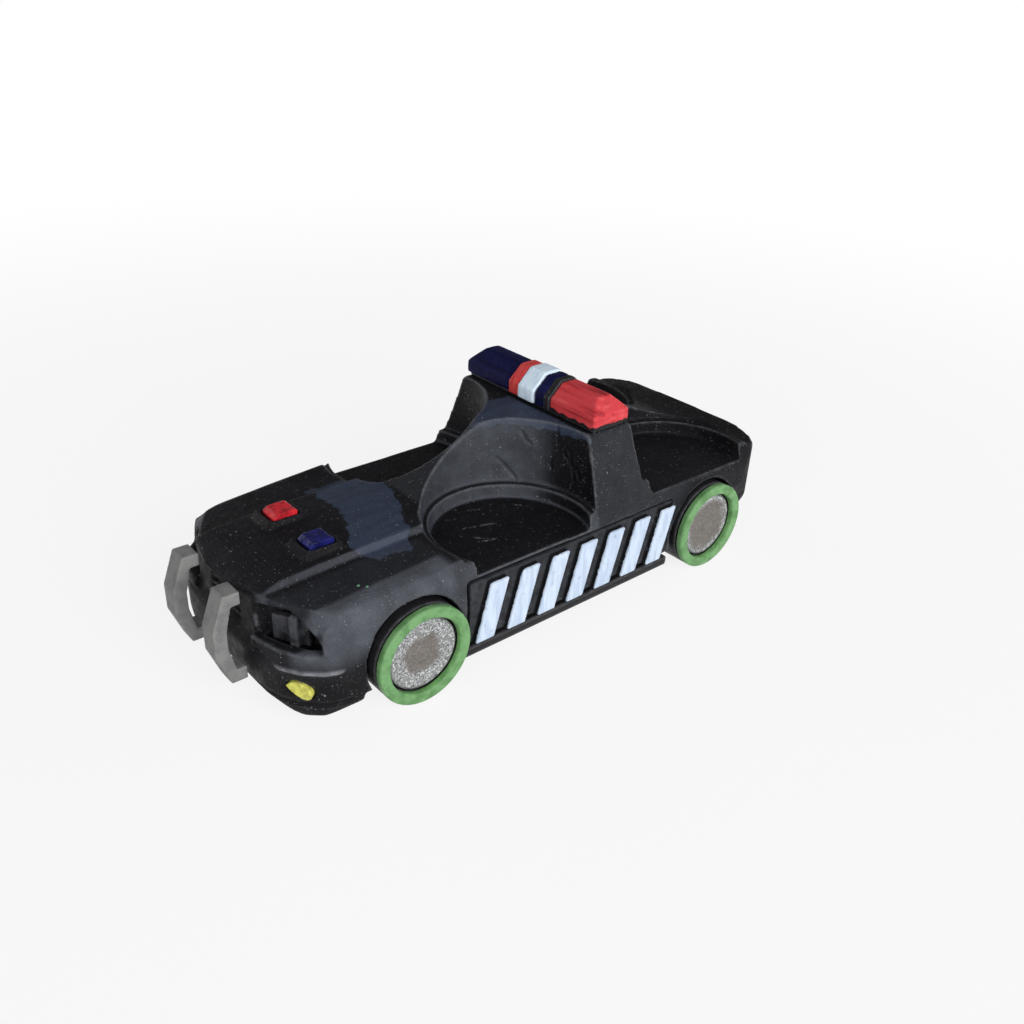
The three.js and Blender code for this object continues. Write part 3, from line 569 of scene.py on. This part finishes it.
# Body: the shell, softened, with its marks. Cracks are given by the angle round the pocket and the height
POCKET = {"x": 8.85, "y": 14.25, "radius": 13.85, "floor": 15.8}
SLATE_OUTLINE = [
    (29.7, -11.5), (21.1, -11.9), (19.0, -9.4), (20.1, -0.9), (23.8, 8.1), (26.6, 12.5),
    (31.5, 11.5), (33.7, 8.4), (30.8, 2.7), (29.4, -2.0), (29.8, -7.0),
]
WALL_CRACKS = [
    [(-136, 27.1), (-139, 25.7), (-142, 25.3)],
    [(-120, 22.4), (-126, 20.9), (-133, 18.8)],
    [(-160, 28.9), (-161, 26.7)],
    [
        (-158, 21.6), (-156, 22.5), (-159, 24.1), (-165, 25.0),
        (-170, 24.2), (-174, 22.7), (-176, 20.8), (-173, 18.7),
    ],
    [(-171, 25.3), (-173, 23.4), (-179, 22.5), (-180, 21.6)],
]
FLOOR_SCRATCHES = [
    [(9.1, 3.9), (7.5, 4.7)],
    [(13.9, 4.4), (12.5, 5.1)],
    [(13.7, 8.1), (7.9, 9.8)],
    [(13.8, 11.1), (11.3, 13.4)],
    [(13.8, 12.6), (11.7, 13.5)],
    [(1.8, 7.0), (1.1, 7.6)],
]
FENDER_FLECKS = [(37.0, 15.3), (36.2, 16.2)]
HOOD_LOW, FLECK_LOW = 18.0, 17.0
FAR_AWAY = 9.0
ROOF_PATCH = {"z": 28.3, "front": -5.6, "right": -4.0}
RIDGE = {"z": 9.55, "half": 0.24, "height": 0.4, "from": 13.2, "back": 42.3}
GROOVE = {"z": 4.2, "half": 0.3, "depth": 0.3, "from": 9.0, "back": 41.0}
CHIN = {"x": (39.0, 43.0), "out": (10.0, 14.0), "z": (5.0, 9.0), "passes": 60}
# Each lamp recess is narrowed to a leaf: a lip below it and a brow over its outer end
LIP_OUTLINE = [
    (50.3, 8.6), (50.0, 11.0), (49.0, 14.4), (47.3, 17.2), (45.0, 19.2),
    (43.4, 18.0), (45.6, 16.2), (47.2, 13.6), (48.3, 10.6), (48.7, 8.6),
]
LIP_Z = (10.8, 12.3)
BROW_OUTLINE = [
    (46.6, 12.9, 17.1), (43.7, 18.1, 17.1), (44.3, 19.3, 14.8), (45.0, 19.7, 12.2),
    (45.3, 18.9, 14.1), (45.9, 16.8, 15.7),
]
BROW_PUSH = (-2.2, -1.7, -0.6)
BROW_BLEND = {"place": (43.2, 18.6, 15.8), "near": 1.6, "far": 3.2, "passes": 40}
# Strengths of the grey haze, which is partly painted sheen, and the ranges over which its parts come in;
# faces that look forward are kept dark as painted shade
HAZE_AND_SHEEN = {"crease": 0.5, "pocket": 0.7, "block": 0.24, "top": 0.17, "passes": 2}
HAZE_AND_SHEEN_RANGE = {
    "lean": (0.05, 0.28), "facing_shade": (0.8, 0.98), "z": (8.5, 12.5),
    "hood": (23.0, 25.0), "front": (-4.6, -3.6), "block": (-28.0, -20.0),
    "crease": (8.4, 9.0), "crease_end": (10.2, 10.8), "fender": (15.0, 16.5),
    "shoulder": (15.6, 16.8), "top": (10.2, 11.0), "top_z": (15.5, 16.5),
}
# Painted shade: where the black is darkened behind the push bars under the hood, on the chin and round the
# tail
PAINTED_SHADE = {
    "most": 0.75, "nose": (38.0, 41.0), "bars": (9.6, 10.6), "bumper": (9.0, 10.0),
    "hood": (16.6, 17.4), "chin": (7.0, 9.0), "tail": (-44.0, -36.0),
}
# Edges are rubbed less on the nose's top and round the hood lamps
CALM = {
    "share": 0.65, "nose": (40.0, 43.0), "nose_z": (14.0, 16.0),
    "vents": (30.0, 32.0), "vents_out": (8.4, 9.0), "vents_z": (16.0, 18.0),
}


def on_wall(degrees, z):
    turn = math.radians(degrees)
    x = POCKET["x"] + POCKET["radius"] * math.cos(turn)
    return (x, POCKET["y"] + POCKET["radius"] * math.sin(turn), z)


def lamp_blocks():
    """The lips and brows of both lamp recesses."""
    blocks = []
    for side in SIDES.values():
        lip = [at(x, side * y, LIP_Z[0]) for x, y in LIP_OUTLINE]
        blocks.append((lip, Vector((0, 0, LIP_Z[1] - LIP_Z[0])) * MM))
        brow = [at(x, side * y, z) for x, y, z in BROW_OUTLINE]
        x, y, z = BROW_PUSH
        blocks.append((brow, Vector((x, side * y, z)) * MM))
    return blocks


def band(line, x, y, z):
    """1 along a level line round a front corner of the bumper, fading to 0 beside it and past its ends."""
    level = np.exp(-((z - line["z"]) / line["half"]) ** 2)
    ends = np.minimum(np.abs(y) - line["from"], x - line["back"])
    return level * np.clip(ends, 0, 1)


def shape_bumper(mesh):
    """Rounds the chin, blends in the brows, and adds a raised line with a groove below it on each corner."""
    points = points_of(mesh)
    edges = edges_of(mesh)
    x, y, z = millimetres(points)
    corner = eased(x, *CHIN["x"]) * eased(np.abs(y), *CHIN["out"]) * (1 - eased(z, *CHIN["z"]))
    rounded = averaged(points, edges, CHIN["passes"]) - points
    points[:, :2] += corner[:, None] * rounded[:, :2]
    brow_x, brow_y, brow_z = BROW_BLEND["place"]
    away = np.sqrt((x - brow_x) ** 2 + (np.abs(y) - brow_y) ** 2 + (z - brow_z) ** 2)
    brow = 1 - eased(away, BROW_BLEND["near"], BROW_BLEND["far"])
    points += brow[:, None] * (averaged(points, edges, BROW_BLEND["passes"]) - points)
    set_points(mesh, points)
    ridge = band(RIDGE, x, y, z)
    lift = RIDGE["height"] * ridge - GROOVE["depth"] * band(GROOVE, x, y, z)
    set_points(mesh, points_of(mesh) + lift[:, None] * MM * normals_of(mesh))
    add_layer(mesh, "ridge", ridge)


def body_edges(mesh):
    x, y, z = millimetres(points_of(mesh))
    nose = eased(x, *CALM["nose"]) * eased(z, *CALM["nose_z"])
    vents = eased(x, *CALM["vents"]) * (1 - eased(np.abs(y), *CALM["vents_out"])) * eased(z, *CALM["vents_z"])
    return edge_of(mesh, BODY_EDGE_PASSES) * (1 - CALM["share"] * np.maximum(nose, vents))


def haze_and_sheen_of(mesh):
    """Where the black paint is rubbed grey and lightened as painted sheen: most on the fenders' sides and the
    pocket walls, on the left side only at the hood's shoulder and fender top, and kept off faces that look
    forward, as painted shade.
    """
    x, y, z = millimetres(points_of(mesh))
    out = np.abs(y)
    hood = eased(x, *HAZE_AND_SHEEN_RANGE["hood"])
    block = eased(x, *HAZE_AND_SHEEN_RANGE["block"])
    front = eased(x, *HAZE_AND_SHEEN_RANGE["front"])
    along = HAZE_AND_SHEEN["block"] * block + (HAZE_AND_SHEEN["pocket"] - HAZE_AND_SHEEN["block"]) * front
    crease = eased(out, *HAZE_AND_SHEEN_RANGE["crease"]) * (1 - eased(out, *HAZE_AND_SHEEN_RANGE["crease_end"]))
    fender = np.maximum(eased(out, *HAZE_AND_SHEEN_RANGE["fender"]), HAZE_AND_SHEEN["crease"] * crease)
    normals = np.abs(averaged(normals_of(mesh), edges_of(mesh), HAZE_AND_SHEEN["passes"]))
    # Sloped and upright faces, and the left shoulder, get the haze and painted sheen
    shoulder = hood * eased(y, *HAZE_AND_SHEEN_RANGE["shoulder"])
    leaning = np.maximum(eased(1 - normals[:, 2], *HAZE_AND_SHEEN_RANGE["lean"]), shoulder)
    # Faces that look forward are left dark, as painted shade
    leaning = leaning * (1 - eased(normals[:, 0], *HAZE_AND_SHEEN_RANGE["facing_shade"]))
    sides = leaning * eased(z, *HAZE_AND_SHEEN_RANGE["z"]) * (along + hood * (fender - along))
    # The left fender's top gets a little painted sheen
    top = HAZE_AND_SHEEN["top"] * hood * eased(y, *HAZE_AND_SHEEN_RANGE["top"]) * eased(z, *HAZE_AND_SHEEN_RANGE["top_z"])
    return np.maximum(sides, top)


def painted_shade_of(mesh):
    """Where the black is darkened as painted shade: behind the push bars under the hood, on the chin and
    round the tail.
    """
    x, y, z = millimetres(points_of(mesh))
    nose = eased(x, *PAINTED_SHADE["nose"])
    behind_bars = 1 - eased(np.abs(y), *PAINTED_SHADE["bars"])
    under_hood = eased(z, *PAINTED_SHADE["bumper"]) * (1 - eased(z, *PAINTED_SHADE["hood"]))
    chin = 1 - eased(z, *PAINTED_SHADE["chin"])
    tail = 1 - eased(x, *PAINTED_SHADE["tail"])
    return PAINTED_SHADE["most"] * np.maximum(nose * np.maximum(behind_bars * under_hood, chin), tail)


def slate_of(mesh):
    """Distance from the slate patches on the hood and below the light bar, below 0 inside them."""
    points = points_of(mesh)
    x, y, z = millimetres(points)
    hood = outline_distance(points, places([(*corner, 0) for corner in SLATE_OUTLINE]))
    hood = np.where(z > HOOD_LOW, hood, FAR_AWAY)
    roof = np.maximum(ROOF_PATCH["z"] - z, ROOF_PATCH["right"] - y)
    roof = np.where(x > ROOF_PATCH["front"], roof, FAR_AWAY)
    return np.minimum(hood, roof)


def add_marks(mesh):
    """Layers for the cracks in the pocket's wall, the scratches on its floor and the fender's flecks."""
    points = points_of(mesh)
    x, y, z = millimetres(points)
    cracks = [places([on_wall(*place) for place in line]) for line in WALL_CRACKS]
    add_layer(mesh, "crack", lines_distance(points, cracks))
    scratches = [places([(*place, POCKET["floor"]) for place in line]) for line in FLOOR_SCRATCHES]
    add_layer(mesh, "scratch", lines_distance(points, scratches))
    flecks = np.min([np.hypot(x - fleck_x, y - fleck_y) for fleck_x, fleck_y in FENDER_FLECKS], axis=0)
    add_layer(mesh, "fleck", np.where(z > FLECK_LOW, flecks, FAR_AWAY))


def dress_body():
    skin = soft_mesh(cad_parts["body_shell"], "body_skin", *SOFT["body"], lamp_blocks())
    mesh = skin.data
    shape_bumper(mesh)
    add_layer(mesh, "edge", body_edges(mesh))
    add_layer(mesh, "haze_and_sheen", haze_and_sheen_of(mesh))
    add_layer(mesh, "painted_shade", painted_shade_of(mesh))
    add_layer(mesh, "slate", slate_of(mesh))
    add_marks(mesh)
    mesh.materials.append(body_paint())
    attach(skin, ROOT)
    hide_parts("body_shell")


# Other pieces: each is a softened copy of its node, in its own paint
def dressed(node, body, material, soft, axle=None):
    piece = soft_mesh(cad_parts[node], f"{node}_skin", *soft)
    add_layer(piece.data, "edge", edge_of(piece.data, EDGE_PASSES))
    if axle is not None:
        points = points_of(piece.data)
        radius = np.hypot(points[:, 0] - axle.x, points[:, 2] - axle.z) / MM
        add_layer(piece.data, "radius", radius)
    piece.data.materials.append(material)
    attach(piece, body)
    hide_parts(node)
    return piece


# The hubs' paints, with how far out each is dull in millimetres
HUB_PAINTS = {"front": ("hub_silver", 3.8), "rear": ("hub_worn", 5.4)}


def dress_wheels():
    tyre = plain_black("wheel_black", 0.5, 34)
    ring = ring_paint()
    hubs = {end: hub_paint(*HUB_PAINTS[end]) for end in ENDS}
    for end in ENDS:
        axle = middle(f"{end}_axle")
        for side in SIDES:
            name, body = f"{end}_{side}", f"{end}_wheelset"
            dressed(f"{name}_wheel", body, tyre, SOFT["wheel"], axle)
            dressed(f"{name}_ring", body, ring, SOFT["ring"], axle)
            dressed(f"{name}_hub", body, hubs[end], SOFT["hub"], axle)


def dress_light_bar():
    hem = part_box("light_bar_red_lens")[0].z / MM
    red = lens_paint("light_red", (204, 62, 68), (140, 32, 40), (216, 92, 94), ALONG_BAR, hem=hem)
    red_band = lens_paint("band_red", (204, 62, 62), (160, 40, 44), (214, 92, 88), ACROSS_BAR)
    navy = lens_paint("light_navy", (18, 20, 60), (12, 12, 36), (30, 32, 86), ALONG_BAR, specular=0.06)
    white = lens_paint("light_white", (222, 240, 255), (196, 214, 242), (236, 248, 255), ACROSS_BAR)
    black = plain_black("light_black", 0.5, 32)
    # Slot, paint and passes of smoothing
    pieces = {
        "light_bar_red_lens": ("light_red", red, 14),
        "light_bar_red_band": ("light_red", red_band, 20),
        "light_bar_navy_lens": ("light_navy", navy, 45),
        "light_bar_navy_band": ("light_navy", navy, 20),
        "light_bar_white_band": ("light_white", white, 20),
        "light_bar_collar": ("light_black", black, 12),
        "light_bar_base": ("light_black", black, 8),
    }
    for node, (slot, paint, passes) in pieces.items():
        dressed(node, ROOT, paint, (LIGHT_BAR_VOXEL, passes))


LAMP_HEIGHT = 0.75


def dress_trim():
    grey = push_bar_paint()
    smoke = lamp_paint("headlamp_smoke", (62, 63, 68), (36, 36, 40), (110, 112, 116), roughness=0.34)
    yellow = lamp_paint("fog_yellow", (214, 212, 104), (178, 176, 84), (236, 234, 170), roughness=0.45)
    panel_back, panel_front = (corner.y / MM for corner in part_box("side_panel_left"))
    panel = panel_paint(panel_back + PANEL_PLATE, panel_front)
    for side in SIDES:
        dressed(f"push_bar_{side}", ROOT, grey, SOFT["push_bar"])
        dressed(f"headlamp_{side}", ROOT, smoke, SOFT["headlamp"])
        dressed(f"fog_lamp_{side}", ROOT, yellow, SOFT["fog_lamp"])
        dressed(f"side_panel_{side}", ROOT, panel, SOFT["side_panel"])
    blue = lamp_paint("lamp_blue", (30, 33, 104), (20, 21, 70), (84, 88, 176))
    red = lamp_paint("lamp_red", (214, 46, 54), (160, 32, 42), (226, 110, 112))
    for colour, paint in (("blue", blue), ("red", red)):
        lamp = dressed(f"hood_lamp_{colour}", ROOT, paint, SOFT["hood_lamp"])
        flatten(lamp.data, LAMP_HEIGHT)


def dress_underside():
    black = plain_black("chassis_black", 0.55, 32)
    dressed("chassis_plate", ROOT, black, SOFT["chassis"])
    steel = steel_paint()
    for node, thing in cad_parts.items():
        if node.startswith("chassis_screw") or node.endswith("_axle"):
            thing.data.materials.clear()
            thing.data.materials.append(steel)
            thing.data.shade_smooth()


# Camera, floor and light
CAMERA_PLACE = (96.5, 112.2, 92.5)
CAMERA_AZIMUTH, CAMERA_ELEVATION, CAMERA_ROLL = 138.18, 28.87, -2.67
CAMERA_LENS, SENSOR = 34.79, 36.0
CAMERA_NEAR = 0.005


def add_camera():
    azimuth, elevation, roll = (math.radians(a) for a in (CAMERA_AZIMUTH, CAMERA_ELEVATION, CAMERA_ROLL))
    back = Vector((
        math.sin(azimuth) * math.cos(elevation),
        -math.cos(azimuth) * math.cos(elevation),
        math.sin(elevation),
    ))
    right = Vector((0, 0, 1)).cross(back).normalized()
    up = back.cross(right)
    turned_right = math.cos(roll) * right - math.sin(roll) * up
    turned_up = math.sin(roll) * right + math.cos(roll) * up
    data = bpy.data.cameras.new("camera")
    data.lens = CAMERA_LENS
    data.sensor_width = SENSOR
    data.clip_start = CAMERA_NEAR
    camera = bpy.data.objects.new("camera", data)
    basis = Matrix((turned_right, turned_up, back)).transposed().to_4x4()
    camera.matrix_world = Matrix.Translation(at(*CAMERA_PLACE)) @ basis
    bpy.context.scene.collection.objects.link(camera)
    bpy.context.scene.camera = camera


FLOOR_HALF = 30.0
FLOOR_COLOUR, FLOOR_ROUGHNESS = (0.8, 0.8, 0.8, 1), 0.9
# From the first distance to the second, in metres, the share of plain white goes from the third to the fourth
FLOOR_GLOW = (0.08, 0.35, 0.85, 1.0)
# From the first height to the second, the world's strength goes from the third to the fourth
WORLD_LIGHT = (0.02, 0.4, 0.28, 0.13)
# Direction towards the lamp, then its distance and size in metres, and its power in watts
LAMPS = {
    "key": ((0.0, 0.9, 0.42), 0.8, 0.5, 5.2),
    "fill": ((0.8, 0.45, 0.4), 0.9, 0.6, 2.4),
    "right": ((0.3, -0.95, 0.25), 0.9, 0.6, 1.6),
    "rear": ((-0.95, 0.15, 0.3), 0.9, 0.6, 1.2),
}


def eased_range(tree, value, numbers):
    """A value carried from one range over to another, with an eased run between them."""
    node = tree.nodes.new("ShaderNodeMapRange")
    node.interpolation_type = "SMOOTHSTEP"
    for socket, number in zip(node.inputs[1:5], numbers):
        socket.default_value = number
    tree.links.new(value, node.inputs[0])
    return node.outputs[0]


def combined(tree, operation, first, second):
    node = tree.nodes.new("ShaderNodeMath")
    node.operation = operation
    node.use_clamp = True
    tree.links.new(first, node.inputs[0])
    tree.links.new(second, node.inputs[1])
    return node.outputs[0]


def seen_directly(tree):
    """1 for rays that show the stage itself: from the camera, in reflections and through clear pieces."""
    path = tree.nodes.new("ShaderNodeLightPath")
    total = path.outputs["Is Camera Ray"]
    for kind in ("Is Glossy Ray", "Is Transmission Ray"):
        total = combined(tree, "ADD", total, path.outputs[kind])
    return total


def floor_material():
    """Pale floor that shows white, and fully so far from the object, but keeps the object's shadow."""
    material = bpy.data.materials.new("floor_white")
    material.use_nodes = True
    tree = material.node_tree
    shader = tree.nodes["Principled BSDF"]
    shader.inputs["Base Color"].default_value = FLOOR_COLOUR
    shader.inputs["Roughness"].default_value = FLOOR_ROUGHNESS
    shader.inputs["Specular IOR Level"].default_value = 0.0
    place = tree.nodes.new("ShaderNodeTexCoord")
    distance = tree.nodes.new("ShaderNodeVectorMath")
    distance.operation = "LENGTH"
    tree.links.new(place.outputs["Object"], distance.inputs[0])
    share = eased_range(tree, distance.outputs["Value"], FLOOR_GLOW)
    white = tree.nodes.new("ShaderNodeEmission")
    mix = tree.nodes.new("ShaderNodeMixShader")
    tree.links.new(combined(tree, "MULTIPLY", share, seen_directly(tree)), mix.inputs["Fac"])
    tree.links.new(shader.outputs[0], mix.inputs[1])
    tree.links.new(white.outputs[0], mix.inputs[2])
    tree.links.new(mix.outputs[0], tree.nodes["Material Output"].inputs["Surface"])
    return material


def add_floor():
    mesh = bpy.data.meshes.new("floor")
    signs = ((-1, -1), (1, -1), (1, 1), (-1, 1))
    mesh.from_pydata([(x * FLOOR_HALF, y * FLOOR_HALF, 0) for x, y in signs], [], [(0, 1, 2, 3)])
    mesh.materials.append(floor_material())
    floor = bpy.data.objects.new("floor", mesh)
    bpy.context.scene.collection.objects.link(floor)


def add_lamp(name, toward, distance, size, power):
    data = bpy.data.lights.new(name, "AREA")
    data.shape = "DISK"
    data.size = size
    data.energy = power
    lamp = bpy.data.objects.new(name, data)
    direction = Vector(toward).normalized()
    lamp.location = direction * distance
    lamp.rotation_euler = direction.to_track_quat("Z", "Y").to_euler()
    bpy.context.scene.collection.objects.link(lamp)


def add_world():
    """Brighter at the level of the floor than overhead."""
    world = bpy.data.worlds.new("studio")
    bpy.context.scene.world = world
    world.use_nodes = True
    tree = world.node_tree
    coordinates = tree.nodes.new("ShaderNodeTexCoord")
    split = tree.nodes.new("ShaderNodeSeparateXYZ")
    tree.links.new(coordinates.outputs["Generated"], split.inputs[0])
    background = tree.nodes["Background"]
    tree.links.new(eased_range(tree, split.outputs["Z"], WORLD_LIGHT), background.inputs["Strength"])
    background.inputs["Color"].default_value = (1, 1, 1, 1)


def main():
    dress_body()
    dress_wheels()
    dress_light_bar()
    dress_trim()
    dress_underside()
    add_camera()
    add_floor()
    for name, settings in LAMPS.items():
        add_lamp(name, *settings)
    add_world()
    bpy.context.scene.view_settings.view_transform = "Standard"


main()
